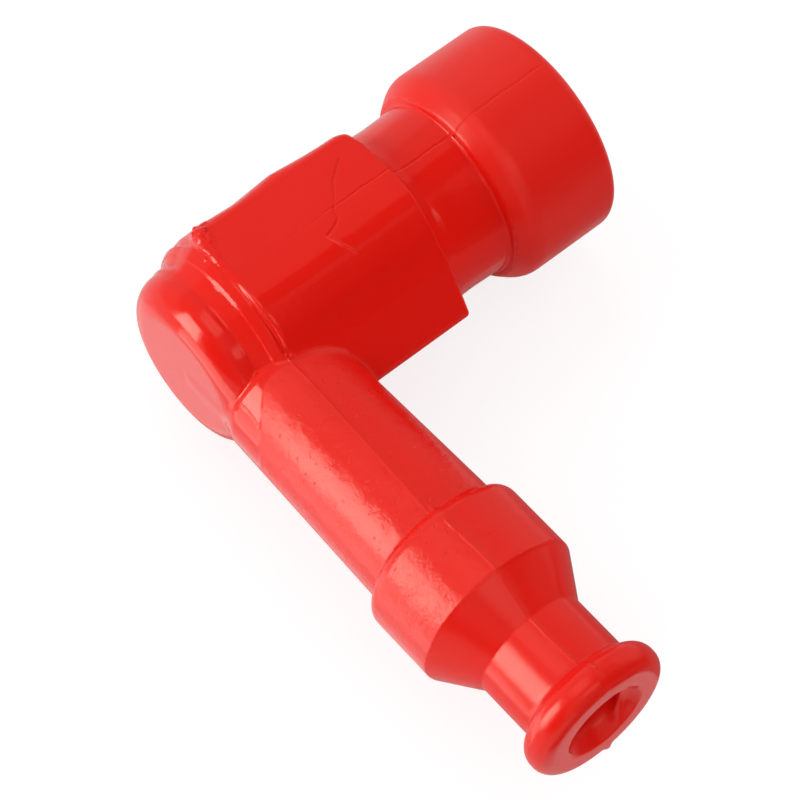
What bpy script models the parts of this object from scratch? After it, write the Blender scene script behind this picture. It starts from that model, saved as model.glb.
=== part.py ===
# Right-angle spark plug cap: a one-piece moulded rubber boot round a brass and ceramic contact train.
# Metres, +Z up. The plug barrel opens towards +X and the lead arm towards -Y, and both axes are level.
# The cap lies on its side, on the rim of its plug collar.
import math

import bmesh
import bpy
from mathutils import Vector

MM = 0.001

# Plug barrel, by diameter, and by length along the plug axis from the middle of the elbow
COLLAR_DIAMETER = 27.0 * MM
COLLAR_LENGTH = 14.2 * MM
COLLAR_SHOULDER_LENGTH = 3.2 * MM
COLLAR_RIM_ROUND = 1.2 * MM
NECK_DIAMETER = 22.4 * MM
NECK_WAIST_DEPTH = 0.4 * MM
NECK_LENGTH = 8.9 * MM
HEX_ACROSS_FLATS = 25.3 * MM
HEX_LENGTH = 22.1 * MM
HEX_SIDE_ROUND = 1.2 * MM
HEX_SOFT_ROUND = 2.6 * MM
HEX_NOSE_ROUND = 0.7 * MM
HEX_BACK_ROUND = 7.0 * MM
HEX_END_ROUND = 0.45 * MM

# Back of the elbow
FLANGE_THICKNESS = 1.2 * MM
FLANGE_SETBACK = 0.2 * MM
FLANGE_STEP_LENGTH = 1.5 * MM
BACK_CAP_DIAMETER = 21.4 * MM
BACK_CAP_HEIGHT = 7.2 * MM
BACK_CAP_ROUND = 3.7 * MM

# Lead arm, by diameter, and by length away from the plug axis
ARM_ROOT_DIAMETER = 15.3 * MM
ARM_DIAMETER = 16.8 * MM
ARM_LENGTH = 34.35 * MM
SLEEVE_DIAMETER = 20.2 * MM
SLEEVE_LENGTH = 10.1 * MM
SLEEVE_SHOULDER_LENGTH = 1.9 * MM
SLEEVE_TAPER_LENGTH = 5.2 * MM
THROAT_DIAMETER = 13.6 * MM
THROAT_LENGTH = 7.9 * MM
BEAD_DIAMETER = 17.5 * MM
BEAD_LENGTH = 3.8 * MM

# Plug socket inside the barrel
MOUTH_DIAMETER = 18.6 * MM
MOUTH_DEPTH = 6.5 * MM
MOUTH_CHAMFER = 0.6 * MM
MOUTH_CONE_LENGTH = 3.0 * MM
INSULATOR_BORE = 11.6 * MM
INSULATOR_BORE_DEPTH = 27.5 * MM
SEAL_LIP_BORE = 10.4 * MM
SEAL_LIP_WIDTH = 1.4 * MM
SEAL_LIP_PITCH = 4.0 * MM
SEAL_LIP_COUNT = 3
SEAT_WALL = 1.0 * MM

# Bores inside the lead arm
CORE_BORE = 7.6 * MM
CORE_BORE_BACK = 4.0 * MM
LEAD_BORE = 6.6 * MM
LEAD_MOUTH_DIAMETER = 10.8 * MM
LEAD_MOUTH_DEPTH = 3.4 * MM

# Contact train
FIT_GAP = 0.3 * MM
TERMINAL_DIAMETER = 9.6 * MM
TERMINAL_BORE = 6.5 * MM
TERMINAL_FLOOR_THICKNESS = 3.1 * MM
TERMINAL_FLANGE_THICKNESS = 1.0 * MM
TERMINAL_STEM_DIAMETER = 3.2 * MM
EDGE_CHAMFER = 0.4 * MM
RING_WIRE = 0.7 * MM
RING_DEPTH = 4.6 * MM
RING_BITE = 0.45 * MM
RING_GROOVE_WALL = 0.4 * MM
RING_LEG_OVERHANG = 3.2 * MM
CONTACT_BLOCK_LENGTH = 9.5 * MM
SPRING_LENGTH = 6.0 * MM
SPRING_WIRE = 0.8 * MM
SPRING_TURNS = 4
RESISTOR_DIAMETER = 5.5 * MM
RESISTOR_LENGTH = 14.0 * MM
RESISTOR_CAP_LENGTH = 3.6 * MM
RESISTOR_CAP_END = 0.8 * MM
SCREW_HEAD_LENGTH = 2.4 * MM
SCREW_SHANK_DIAMETER = 2.4 * MM
SCREW_LENGTH = 11.5 * MM
SCREW_POINT_LENGTH = 3.0 * MM
THREAD_WIRE = 0.9 * MM
THREAD_PITCH = 1.5 * MM

# Fineness of the round shapes
BARREL_STEPS = 64
ARM_STEPS = 48
BORE_STEPS = 40
SMALL_STEPS = 32
ROUND_POINTS = 5
CORNER_SEGMENTS = 4
BACK_ROUND_SEGMENTS = 10
END_ROUND_SEGMENTS = 2
SHARP_ANGLE = math.radians(35)
WELD_DISTANCE = 0.001 * MM
COIL_POINTS = 16
CUT_MARGIN = 2.0 * MM

# Places along the plug axis
hex_front = HEX_LENGTH
collar_back = hex_front + NECK_LENGTH
mouth_face = collar_back + COLLAR_LENGTH
back_face = -BACK_CAP_HEIGHT
socket_floor = mouth_face - INSULATOR_BORE_DEPTH
seat_floor = CORE_BORE / 2 + SEAT_WALL

# Places along the lead arm
sleeve_back = ARM_LENGTH
taper_back = sleeve_back + SLEEVE_LENGTH
throat_back = taper_back + SLEEVE_TAPER_LENGTH
bead_back = throat_back + THROAT_LENGTH
lead_face = bead_back + BEAD_LENGTH

# Radii that several shapes share
collar_radius = COLLAR_DIAMETER / 2
neck_radius = NECK_DIAMETER / 2
hex_half_width = HEX_ACROSS_FLATS / 2
hex_corner_radius = hex_half_width / math.cos(math.radians(30))
terminal_radius = TERMINAL_DIAMETER / 2
seat_radius = terminal_radius + FIT_GAP
train_radius = CORE_BORE / 2 - FIT_GAP
stem_hole_radius = TERMINAL_STEM_DIAMETER / 2 + FIT_GAP

# The contact train is stacked outwards from the contact block, each piece a gap from the next
block_back = -CORE_BORE_BACK + FIT_GAP
block_front = block_back + CONTACT_BLOCK_LENGTH
spring_back = block_front + FIT_GAP
spring_front = spring_back + SPRING_LENGTH
rear_cap_back = spring_front + FIT_GAP
resistor_back = rear_cap_back + RESISTOR_CAP_END + FIT_GAP
resistor_front = resistor_back + RESISTOR_LENGTH
front_cap_front = resistor_front + FIT_GAP + RESISTOR_CAP_END
screw_back = front_cap_front + FIT_GAP
core_bore_front = screw_back + SCREW_HEAD_LENGTH + FIT_GAP

# The origin is under the middle of the whole cap, on the surface that it lies on
back_reach = max(BACK_CAP_HEIGHT, SLEEVE_DIAMETER / 2)
ELBOW_POINT = Vector(((back_reach - mouth_face) / 2, (lead_face - collar_radius) / 2, collar_radius))

ALONG_PLUG = (0.0, math.radians(90), 0.0)
ALONG_LEAD = (math.radians(90), 0.0, 0.0)

for old_object in list(bpy.data.objects):
    bpy.data.objects.remove(old_object, do_unlink=True)

cap = bpy.data.collections.new("spark_plug_cap")
tools = bpy.data.collections.new("cutters")
bpy.context.scene.collection.children.link(cap)
bpy.context.scene.collection.children.link(tools)

elbow = bpy.data.objects.new("elbow_point", None)
elbow.location = ELBOW_POINT
cap.objects.link(elbow)


def material(name, colour, roughness, metallic):
    """A plain surface with its own colour, roughness and metallic value."""
    made = bpy.data.materials.new(name)
    made.use_nodes = True
    shader = made.node_tree.nodes["Principled BSDF"]
    shader.inputs["Base Color"].default_value = (*colour, 1.0)
    shader.inputs["Roughness"].default_value = roughness
    shader.inputs["Metallic"].default_value = metallic
    return made


def place(name, data, collection, rotation=(0.0, 0.0, 0.0), location=(0.0, 0.0, 0.0)):
    """A new object, held by the middle of the elbow."""
    made = bpy.data.objects.new(name, data)
    made.parent = elbow
    made.rotation_euler = rotation
    made.location = location
    collection.objects.link(made)
    if collection is tools:
        made.hide_render = True
        made.display_type = "WIRE"
    return made


def finish(made, surface):
    """Give a piece its material, and shade its round faces smooth."""
    made.data.materials.append(surface)
    if made.type == "MESH":
        made.data.shade_smooth()
        made.data.set_sharp_from_angle(angle=SHARP_ANGLE)


def turned(name, profile, collection, rotation, steps):
    """A solid of revolution. The profile holds (radius, height) pairs, outer side from top to bottom."""
    mesh = bpy.data.meshes.new(name)
    points = [(radius, 0.0, height) for radius, height in profile]
    mesh.from_pydata(points, [(i, i + 1) for i in range(len(points) - 1)], [])
    made = place(name, mesh, collection, rotation)
    screw = made.modifiers.new("turn", "SCREW")
    screw.axis = "Z"
    screw.angle = math.radians(360)
    screw.steps = steps
    screw.render_steps = steps
    screw.use_merge_vertices = True
    screw.merge_threshold = WELD_DISTANCE
    return made


def box(name, size, collection, location):
    """A plain block, by its size and its middle."""
    mesh = bpy.data.meshes.new(name)
    shape = bmesh.new()
    bmesh.ops.create_cube(shape, size=1.0)
    bmesh.ops.scale(shape, vec=size, verts=shape.verts)
    shape.to_mesh(mesh)
    shape.free()
    return place(name, mesh, collection, location=location)


def wire(name, points, diameter, collection, rotation=(0.0, 0.0, 0.0)):
    """A round wire along straight steps between points."""
    curve = bpy.data.curves.new(name, "CURVE")
    curve.dimensions = "3D"
    curve.bevel_depth = diameter / 2
    curve.bevel_resolution = 2
    curve.use_fill_caps = True
    spline = curve.splines.new("POLY")
    spline.points.add(len(points) - 1)
    for spot, point in zip(spline.points, points):
        spot.co = (*point, 1.0)
    return place(name, curve, collection, rotation)


def as_mesh(curved, collection):
    """The same wire as a closed mesh, ready to be cut or joined."""
    bpy.context.view_layer.update()
    name = curved.name
    settled = curved.evaluated_get(bpy.context.evaluated_depsgraph_get())
    mesh = bpy.data.meshes.new_from_object(settled)
    shape = bmesh.new()
    shape.from_mesh(mesh)
    bmesh.ops.remove_doubles(shape, verts=shape.verts, dist=WELD_DISTANCE)
    shape.to_mesh(mesh)
    shape.free()
    rotation = tuple(curved.rotation_euler)
    bpy.data.objects.remove(curved, do_unlink=True)
    return place(name, mesh, collection, rotation)


def combine(made, operation, other):
    """Join another solid to a piece, or cut it away."""
    step = made.modifiers.new(other.name, "BOOLEAN")
    step.operation = operation
    step.solver = "EXACT"
    step.object = other


def rounded(corner_radius, corner_height, across, along, start, end):
    """A quarter round, or part of one, as (radius, height) pairs. Its centre is the corner given."""
    pairs = []
    for i in range(ROUND_POINTS + 1):
        angle = math.radians(start + (end - start) * i / ROUND_POINTS)
        pairs.append((corner_radius + across * math.cos(angle), corner_height + along * math.sin(angle)))
    return pairs


def helix(radius, start, end, turns):
    """Points of a coil round the Z axis."""
    count = round(turns * COIL_POINTS)
    points = []
    for i in range(count + 1):
        angle = math.tau * turns * i / count
        height = start + (end - start) * i / count
        points.append((radius * math.cos(angle), radius * math.sin(angle), height))
    return points


# Surfaces
red_rubber = material("red_rubber", (0.76, 0.035, 0.02), 0.32, 0.0)
turned_brass = material("turned_brass", (0.78, 0.57, 0.25), 0.28, 1.0)
spring_steel = material("spring_steel", (0.62, 0.62, 0.60), 0.25, 1.0)
plated_caps = material("plated_caps", (0.70, 0.69, 0.66), 0.30, 1.0)
white_ceramic = material("white_ceramic", (0.84, 0.82, 0.76), 0.35, 0.0)


def barrel_profile():
    """The outside of the plug barrel, from the mouth to the back face."""
    shoulder = collar_radius - neck_radius
    waist = neck_radius - NECK_WAIST_DEPTH
    flange_radius = hex_half_width - FLANGE_SETBACK
    cap_radius = BACK_CAP_DIAMETER / 2
    step_front = -FLANGE_THICKNESS
    step_back = step_front - FLANGE_STEP_LENGTH
    step = flange_radius - cap_radius
    profile = [(0.0, mouth_face)]
    profile += rounded(collar_radius - COLLAR_RIM_ROUND, mouth_face - COLLAR_RIM_ROUND,
                       COLLAR_RIM_ROUND, COLLAR_RIM_ROUND, 90, 0)
    profile += rounded(neck_radius, collar_back + COLLAR_SHOULDER_LENGTH,
                       shoulder, COLLAR_SHOULDER_LENGTH, 0, -90)
    profile += [(waist, collar_back - NECK_LENGTH * 0.25), (waist, collar_back - NECK_LENGTH * 0.75)]
    profile += [(neck_radius, hex_front), (neck_radius, HEX_LENGTH / 2)]
    profile += [(flange_radius, HEX_LENGTH / 4), (flange_radius, step_front + FLANGE_THICKNESS / 2)]
    profile += [(flange_radius - step / 4, step_front), (cap_radius + step / 4, step_back + FLANGE_STEP_LENGTH / 2)]
    profile += [(cap_radius, step_back)]
    profile += rounded(cap_radius - BACK_CAP_ROUND, back_face + BACK_CAP_ROUND,
                       BACK_CAP_ROUND, BACK_CAP_ROUND, 0, -90)
    profile += [(0.0, back_face)]
    return profile


def arm_profile():
    """The outside of the lead arm, from the bead at the lead's mouth to the plug axis."""
    arm_radius = ARM_DIAMETER / 2
    sleeve_radius = SLEEVE_DIAMETER / 2
    throat_radius = THROAT_DIAMETER / 2
    bead_round = BEAD_LENGTH / 2
    bead_centre = BEAD_DIAMETER / 2 - bead_round
    profile = [(0.0, lead_face)]
    profile += rounded(bead_centre, lead_face - bead_round, bead_round, bead_round, 90, 0)
    profile += rounded(bead_centre, bead_back + bead_round, bead_round, bead_round, 0, -75)[1:]
    profile += [(throat_radius, bead_back - BEAD_LENGTH / 8), (throat_radius, throat_back)]
    profile += [(sleeve_radius, taper_back)]
    profile += rounded(arm_radius, sleeve_back + SLEEVE_SHOULDER_LENGTH,
                       sleeve_radius - arm_radius, SLEEVE_SHOULDER_LENGTH, 0, -90)
    profile += [(ARM_ROOT_DIAMETER / 2, 0.0), (0.0, 0.0)]
    return profile


def plug_socket_profile():
    """The hollow for the plug: mouth, lead-in cone, bore with sealing lips, and the terminal's seat."""
    mouth = MOUTH_DIAMETER / 2
    bore = INSULATOR_BORE / 2
    lip = SEAL_LIP_BORE / 2
    cone_front = mouth_face - MOUTH_DEPTH
    cone_back = cone_front - MOUTH_CONE_LENGTH
    flare = mouth + MOUTH_CHAMFER
    profile = [(0.0, mouth_face + CUT_MARGIN), (flare, mouth_face + CUT_MARGIN), (flare, mouth_face)]
    profile += [(mouth, mouth_face - MOUTH_CHAMFER), (mouth, cone_front), (bore, cone_back)]
    for i in range(SEAL_LIP_COUNT):
        middle = cone_back - SEAL_LIP_PITCH * (i + 0.75)
        profile.append((bore, middle + SEAL_LIP_WIDTH))
        profile.append((lip, middle + SEAL_LIP_WIDTH / 4))
        profile.append((lip, middle - SEAL_LIP_WIDTH / 4))
        profile.append((bore, middle - SEAL_LIP_WIDTH))
    profile += [(bore, socket_floor), (seat_radius, socket_floor)]
    profile += [(seat_radius, seat_floor), (stem_hole_radius, seat_floor)]
    profile += [(stem_hole_radius, 0.0), (0.0, 0.0)]
    return profile


def lead_bore_profile():
    """The hollow for the lead: flared mouth, lead bore, and the wider bore of the contact train."""
    lead = LEAD_BORE / 2
    core = CORE_BORE / 2
    mouth = LEAD_MOUTH_DIAMETER / 2
    profile = [(0.0, lead_face + CUT_MARGIN), (mouth, lead_face + CUT_MARGIN)]
    profile += rounded(mouth, lead_face - LEAD_MOUTH_DEPTH, lead - mouth, LEAD_MOUTH_DEPTH, 90, 0)
    profile += [(lead, core_bore_front), (core, core_bore_front)]
    profile += [(core, -CORE_BORE_BACK), (0.0, -CORE_BORE_BACK)]
    return profile


def round_long_edges(shape, width, segments, wanted):
    """Round the edges along the grip whose place across the grip is wanted."""
    chosen = []
    for edge in shape.edges:
        first, second = (vert.co for vert in edge.verts)
        if abs(first.z - second.z) > HEX_LENGTH / 2 and wanted(first.y):
            chosen.append(edge)
    bmesh.ops.bevel(shape, geom=chosen, offset=width, segments=segments, profile=0.5, affect="EDGES")


def make_grip_shape():
    """The six-sided grip. Its nose towards the lead arm is crisp, the corners beside the nose are soft."""
    mesh = bpy.data.meshes.new("grip_shape")
    shape = bmesh.new()
    bmesh.ops.create_cone(shape, cap_ends=True, segments=6, radius1=hex_corner_radius,
                          radius2=hex_corner_radius, depth=HEX_LENGTH)
    round_long_edges(shape, HEX_BACK_ROUND, BACK_ROUND_SEGMENTS, lambda across: across > hex_half_width)
    round_long_edges(shape, HEX_NOSE_ROUND, CORNER_SEGMENTS, lambda across: across < -hex_half_width)
    side_corner = hex_corner_radius / 2
    for corner, width in ((side_corner, HEX_SIDE_ROUND), (-side_corner, HEX_SOFT_ROUND)):
        round_long_edges(shape, width, CORNER_SEGMENTS, lambda across: abs(across - corner) < HEX_END_ROUND)
    front_edges = [edge for edge in shape.edges if min(vert.co.z for vert in edge.verts) > HEX_LENGTH / 4]
    bmesh.ops.bevel(shape, geom=front_edges, offset=HEX_END_ROUND, segments=END_ROUND_SEGMENTS,
                    profile=0.5, affect="EDGES")
    shape.to_mesh(mesh)
    shape.free()
    return place("grip_shape", mesh, tools, ALONG_PLUG, (HEX_LENGTH / 2, 0.0, 0.0))


def make_boot():
    """The moulded boot: barrel, six-sided grip and lead arm in one, hollowed from both mouths."""
    boot = turned("boot", barrel_profile(), cap, ALONG_PLUG, BARREL_STEPS)
    grip = make_grip_shape()
    arm = turned("arm_shape", arm_profile(), tools, ALONG_LEAD, ARM_STEPS)

    plug_socket = turned("plug_socket_shape", plug_socket_profile(), tools, ALONG_PLUG, BORE_STEPS)
    lead_bore = turned("lead_bore_shape", lead_bore_profile(), tools, ALONG_LEAD, BORE_STEPS)
    combine(boot, "UNION", grip)
    combine(boot, "UNION", arm)
    combine(boot, "DIFFERENCE", plug_socket)
    combine(boot, "DIFFERENCE", lead_bore)
    finish(boot, red_rubber)


def make_terminal_socket():
    """The brass socket that snaps over the plug's terminal nut, with two windows for the ring."""
    bore = TERMINAL_BORE / 2
    front = socket_floor + FIT_GAP + TERMINAL_FLANGE_THICKNESS
    flange_radius = INSULATOR_BORE / 2 - FIT_GAP
    stem = TERMINAL_STEM_DIAMETER / 2
    body_back = seat_floor + FIT_GAP
    ring_centre = front - RING_DEPTH
    window_half = RING_WIRE / 2 + FIT_GAP
    groove_half = window_half + FIT_GAP / 2
    groove_radius = bore + RING_GROOVE_WALL
    bore_floor = body_back + TERMINAL_FLOOR_THICKNESS
    profile = [(0.0, bore_floor), (bore, bore_floor)]
    profile += [(bore, front - EDGE_CHAMFER), (bore + EDGE_CHAMFER, front)]
    profile += [(flange_radius, front), (flange_radius, front - TERMINAL_FLANGE_THICKNESS)]
    profile += [(terminal_radius, front - TERMINAL_FLANGE_THICKNESS)]
    profile += [(terminal_radius, ring_centre + groove_half), (groove_radius, ring_centre + groove_half)]
    profile += [(groove_radius, ring_centre - groove_half), (terminal_radius, ring_centre - groove_half)]
    profile += [(terminal_radius, body_back + EDGE_CHAMFER), (terminal_radius - EDGE_CHAMFER, body_back)]
    profile += [(stem, body_back), (stem, -train_radius), (0.0, -train_radius)]
    socket = turned("terminal_socket", profile, cap, ALONG_PLUG, SMALL_STEPS)

    leg_height = bore - RING_BITE + RING_WIRE / 2
    window_floor = leg_height - RING_WIRE / 2 - FIT_GAP
    window_height = terminal_radius
    for side, label in ((1, "upper"), (-1, "lower")):
        middle = side * (window_floor + window_height / 2)
        window = box(label + "_window_shape", (window_half * 2, seat_radius * 2, window_height),
                     tools, (ring_centre, 0.0, middle))
        combine(socket, "DIFFERENCE", window)
    finish(socket, turned_brass)
    make_snap_ring(ring_centre, leg_height, groove_radius + FIT_GAP + RING_WIRE / 2)


def make_snap_ring(centre, leg_height, bend_radius):
    """The sprung wire clip: two straight legs across the windows, joined round one side."""
    bend_start = math.asin(leg_height / bend_radius)
    points = [(centre, -RING_LEG_OVERHANG, leg_height), (centre, 0.0, leg_height)]
    for i in range(COIL_POINTS + 1):
        angle = bend_start - 2 * bend_start * i / COIL_POINTS
        points.append((centre, bend_radius * math.cos(angle), bend_radius * math.sin(angle)))
    points += [(centre, 0.0, -leg_height), (centre, -RING_LEG_OVERHANG, -leg_height)]
    ring = wire("snap_ring", points, RING_WIRE, cap)
    finish(ring, spring_steel)


def make_contact_block():
    """The brass block at the elbow, cross-drilled for the stem of the terminal socket."""
    profile = [(0.0, block_front), (train_radius - EDGE_CHAMFER, block_front)]
    profile += [(train_radius, block_front - EDGE_CHAMFER), (train_radius, block_back + EDGE_CHAMFER)]
    profile += [(train_radius - EDGE_CHAMFER, block_back), (0.0, block_back)]
    block = turned("contact_block", profile, cap, ALONG_LEAD, SMALL_STEPS)
    reach = train_radius + CUT_MARGIN
    drill = [(0.0, reach), (stem_hole_radius, reach), (stem_hole_radius, -reach), (0.0, -reach)]
    cross_hole = turned("cross_hole_shape", drill, tools, ALONG_PLUG, SMALL_STEPS)
    combine(block, "DIFFERENCE", cross_hole)
    finish(block, turned_brass)


def make_contact_spring():
    """The coil spring that holds the resistor against the lead screw."""
    wire_radius = SPRING_WIRE / 2
    coil_radius = train_radius - wire_radius - FIT_GAP
    points = helix(coil_radius, spring_back + wire_radius, spring_front - wire_radius, SPRING_TURNS)
    spring = wire("contact_spring", points, SPRING_WIRE, cap, ALONG_LEAD)
    finish(spring, spring_steel)


def make_resistor():
    """The ceramic resistor rod, with a pressed metal cup over each end."""
    rod = RESISTOR_DIAMETER / 2
    profile = [(0.0, resistor_front), (rod - EDGE_CHAMFER, resistor_front), (rod, resistor_front - EDGE_CHAMFER)]
    profile += [(rod, resistor_back + EDGE_CHAMFER), (rod - EDGE_CHAMFER, resistor_back), (0.0, resistor_back)]
    finish(turned("resistor", profile, cap, ALONG_LEAD, SMALL_STEPS), white_ceramic)

    inner = rod + FIT_GAP
    depth = RESISTOR_CAP_LENGTH - RESISTOR_CAP_END
    rear_floor = rear_cap_back + RESISTOR_CAP_END
    rear = [(0.0, rear_floor), (inner, rear_floor), (inner, rear_floor + depth), (train_radius, rear_floor + depth)]
    rear += [(train_radius, rear_cap_back + EDGE_CHAMFER), (train_radius - EDGE_CHAMFER, rear_cap_back)]
    rear += [(0.0, rear_cap_back)]
    finish(turned("resistor_cap_rear", rear, cap, ALONG_LEAD, SMALL_STEPS), plated_caps)

    front_floor = front_cap_front - RESISTOR_CAP_END
    front = [(0.0, front_cap_front), (train_radius - EDGE_CHAMFER, front_cap_front)]
    front += [(train_radius, front_cap_front - EDGE_CHAMFER), (train_radius, front_floor - depth)]
    front += [(inner, front_floor - depth), (inner, front_floor), (0.0, front_floor)]
    finish(turned("resistor_cap_front", front, cap, ALONG_LEAD, SMALL_STEPS), plated_caps)


def make_lead_screw():
    """The pointed screw that bites into the core of the lead, on a round head."""
    shank = SCREW_SHANK_DIAMETER / 2
    head_front = screw_back + SCREW_HEAD_LENGTH
    tip = head_front + SCREW_LENGTH
    point_back = tip - SCREW_POINT_LENGTH
    profile = [(0.0, tip), (shank, point_back), (shank, head_front), (train_radius - EDGE_CHAMFER, head_front)]
    profile += [(train_radius, head_front - EDGE_CHAMFER), (train_radius, screw_back), (0.0, screw_back)]
    screw = turned("lead_screw", profile, cap, ALONG_LEAD, SMALL_STEPS)
    thread_start = head_front + THREAD_PITCH
    turns = (point_back - thread_start) / THREAD_PITCH
    ridge = wire("thread_shape", helix(shank, thread_start, point_back, turns), THREAD_WIRE, tools, ALONG_LEAD)
    combine(screw, "UNION", as_mesh(ridge, tools))
    finish(screw, turned_brass)


make_boot()
make_terminal_socket()
make_contact_block()
make_contact_spring()
make_resistor()
make_lead_screw()
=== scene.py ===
import math

import bmesh
import bpy
import numpy as np
from mathutils import Matrix, Vector


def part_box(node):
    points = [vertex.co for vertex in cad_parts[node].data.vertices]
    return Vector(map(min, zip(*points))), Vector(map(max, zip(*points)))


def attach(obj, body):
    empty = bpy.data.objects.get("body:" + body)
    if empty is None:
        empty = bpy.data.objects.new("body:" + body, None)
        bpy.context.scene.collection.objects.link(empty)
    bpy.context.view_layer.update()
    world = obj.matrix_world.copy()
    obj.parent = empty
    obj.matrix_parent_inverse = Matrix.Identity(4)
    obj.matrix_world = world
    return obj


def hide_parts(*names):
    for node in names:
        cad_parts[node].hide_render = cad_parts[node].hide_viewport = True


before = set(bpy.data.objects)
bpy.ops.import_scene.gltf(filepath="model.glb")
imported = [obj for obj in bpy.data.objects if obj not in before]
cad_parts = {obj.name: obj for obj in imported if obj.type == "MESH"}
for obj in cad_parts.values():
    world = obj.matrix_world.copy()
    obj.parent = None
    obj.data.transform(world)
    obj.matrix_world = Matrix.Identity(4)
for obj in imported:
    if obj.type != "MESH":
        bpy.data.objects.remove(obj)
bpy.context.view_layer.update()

# Camera
# It looks down on the cap from behind the elbow, through a long lens.
MM = 0.001
IMAGE_WIDTH = 800
FOCAL_PIXELS = 3400
SENSOR_WIDTH = 36.0
MOUTH_FACE = 45.2
VIEW_RIGHT = Vector((0.7628, -0.6466, 0.0017))
VIEW_BACK = Vector((-0.3329, -0.3905, 0.8583))
CAMERA_FROM_ELBOW = Vector((-115.07, -163.34, 319.52))

boot_low, boot_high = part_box("boot")
collar_size = (boot_high.z - boot_low.z) / 2
ELBOW = Vector((boot_high.x - MOUTH_FACE * MM, boot_high.y - collar_size, boot_low.z + collar_size))

lens = bpy.data.cameras.new("photo_lens")
lens.sensor_width = SENSOR_WIDTH
lens.lens = FOCAL_PIXELS / IMAGE_WIDTH * SENSOR_WIDTH
lens.clip_start = 0.01
lens.clip_end = 20.0
camera = bpy.data.objects.new("photo_camera", lens)
bpy.context.scene.collection.objects.link(camera)
bpy.context.scene.camera = camera
view_back = VIEW_BACK.normalized()
view_right = (VIEW_RIGHT - VIEW_RIGHT.dot(view_back) * view_back).normalized()
view_up = view_back.cross(view_right)
turn = Matrix((view_right, view_up, view_back)).transposed()
camera.matrix_world = Matrix.Translation(ELBOW + CAMERA_FROM_ELBOW * MM) @ turn.to_4x4()


# Boot
# One moulding in glossy red rubber: plug barrel, six-sided grip, domed back and lead arm together.
# Sizes are in millimetres, and places are measured from the elbow: along the plug, along the lead, and up.
COLLAR_RADIUS = 13.5
COLLAR_BACK = 31.0
NECK_RADIUS = 11.2
NECK_WAIST = 10.85
GRIP_FRONT = 22.1
GRIP_HALF_WIDTH = 12.65
GRIP_LEAD_CORNER = 14.6
FLANGE_RADIUS = 12.6
BACK_CAP_RADIUS = 10.7
BACK_FACE = -7.2
ARM_ROOT_RADIUS = 7.1
SLEEVE_RADIUS = 10.1
SLEEVE_BACK = 34.35
TAPER_BACK = 44.45
THROAT_BACK = 49.65
THROAT_RADIUS = 6.8
BEAD_RADIUS = 8.75
LEAD_FACE = 61.35
LEAD_MOUTH_RADIUS = 5.1
PLUG_MOUTH_RADIUS = 9.3
PLUG_MOUTH_BACK = 38.7
INSULATOR_FRONT = 35.7
SOCKET_FLOOR = 17.7
SEAT_FLOOR = 4.8
SEAT_RADIUS = 5.1
INSULATOR_RADIUS = 5.8
LIP_RADIUS = 5.2
LIP_PITCH = 4.0
LIPS = 3
STEM_HOLE_RADIUS = 1.9
CORE_RADIUS = 3.8
CORE_BACK = -4.0
CORE_FRONT = 39.7
LEAD_BORE_RADIUS = 3.3

# Profiles: place along the axis, radius, and the round at that corner
BARREL = [(MOUTH_FACE, 0), (MOUTH_FACE, COLLAR_RADIUS, 1.3), (33.2, COLLAR_RADIUS, 3.4),
          (COLLAR_BACK, 11.9, 0.9), (COLLAR_BACK, 11.05, 0.35),
          (29.4, 10.95, 4), (26.5, NECK_WAIST, 12), (23.6, 10.95, 3),
          (GRIP_FRONT, NECK_RADIUS, 1.5), (12.0, NECK_RADIUS, 2), (7.0, 12.4, 3), (2.0, FLANGE_RADIUS, 3),
          (-0.4, FLANGE_RADIUS, 0.3), (-1.4, 12.02, 0.4), (-1.6, 11.72, 0.4), (-3.35, BACK_CAP_RADIUS, 0.8),
          (BACK_FACE, BACK_CAP_RADIUS, 3.7), (BACK_FACE, 0)]
ARM = [(LEAD_FACE, 0), (LEAD_FACE, BEAD_RADIUS, 1.85), (58.1, BEAD_RADIUS, 2.0), (56.9, THROAT_RADIUS, 0.5),
       (THROAT_BACK, THROAT_RADIUS, 0.4), (TAPER_BACK, SLEEVE_RADIUS, 0.9), (35.3, SLEEVE_RADIUS, 1.6),
       (SLEEVE_BACK, 8.5, 0.35), (9.3, 7.85, 2),
       (6.8, ARM_ROOT_RADIUS, 2), (0.0, ARM_ROOT_RADIUS, 1), (0.0, 0)]
PLUG_SOCKET = [(MOUTH_FACE + 2, 0), (MOUTH_FACE + 2, 9.9, 0.1), (MOUTH_FACE, 9.9, 0.3),
               (MOUTH_FACE - 0.6, PLUG_MOUTH_RADIUS, 0.4), (PLUG_MOUTH_BACK, PLUG_MOUTH_RADIUS, 1.2),
               (INSULATOR_FRONT, INSULATOR_RADIUS, 1.0)]
for lip in range(LIPS):
    middle = INSULATOR_FRONT - LIP_PITCH * (lip + 0.75)
    PLUG_SOCKET += [(middle + 1.4, INSULATOR_RADIUS, 0.5), (middle + 0.3, LIP_RADIUS, 0.35)]
    PLUG_SOCKET += [(middle - 0.3, LIP_RADIUS, 0.35), (middle - 1.4, INSULATOR_RADIUS, 0.5)]
PLUG_SOCKET += [(SOCKET_FLOOR, INSULATOR_RADIUS, 0.3), (SOCKET_FLOOR, SEAT_RADIUS, 0.2),
                (SEAT_FLOOR, SEAT_RADIUS, 0.3), (SEAT_FLOOR, STEM_HOLE_RADIUS, 0.2),
                (0.0, STEM_HOLE_RADIUS, 0.2), (0.0, 0)]
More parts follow.
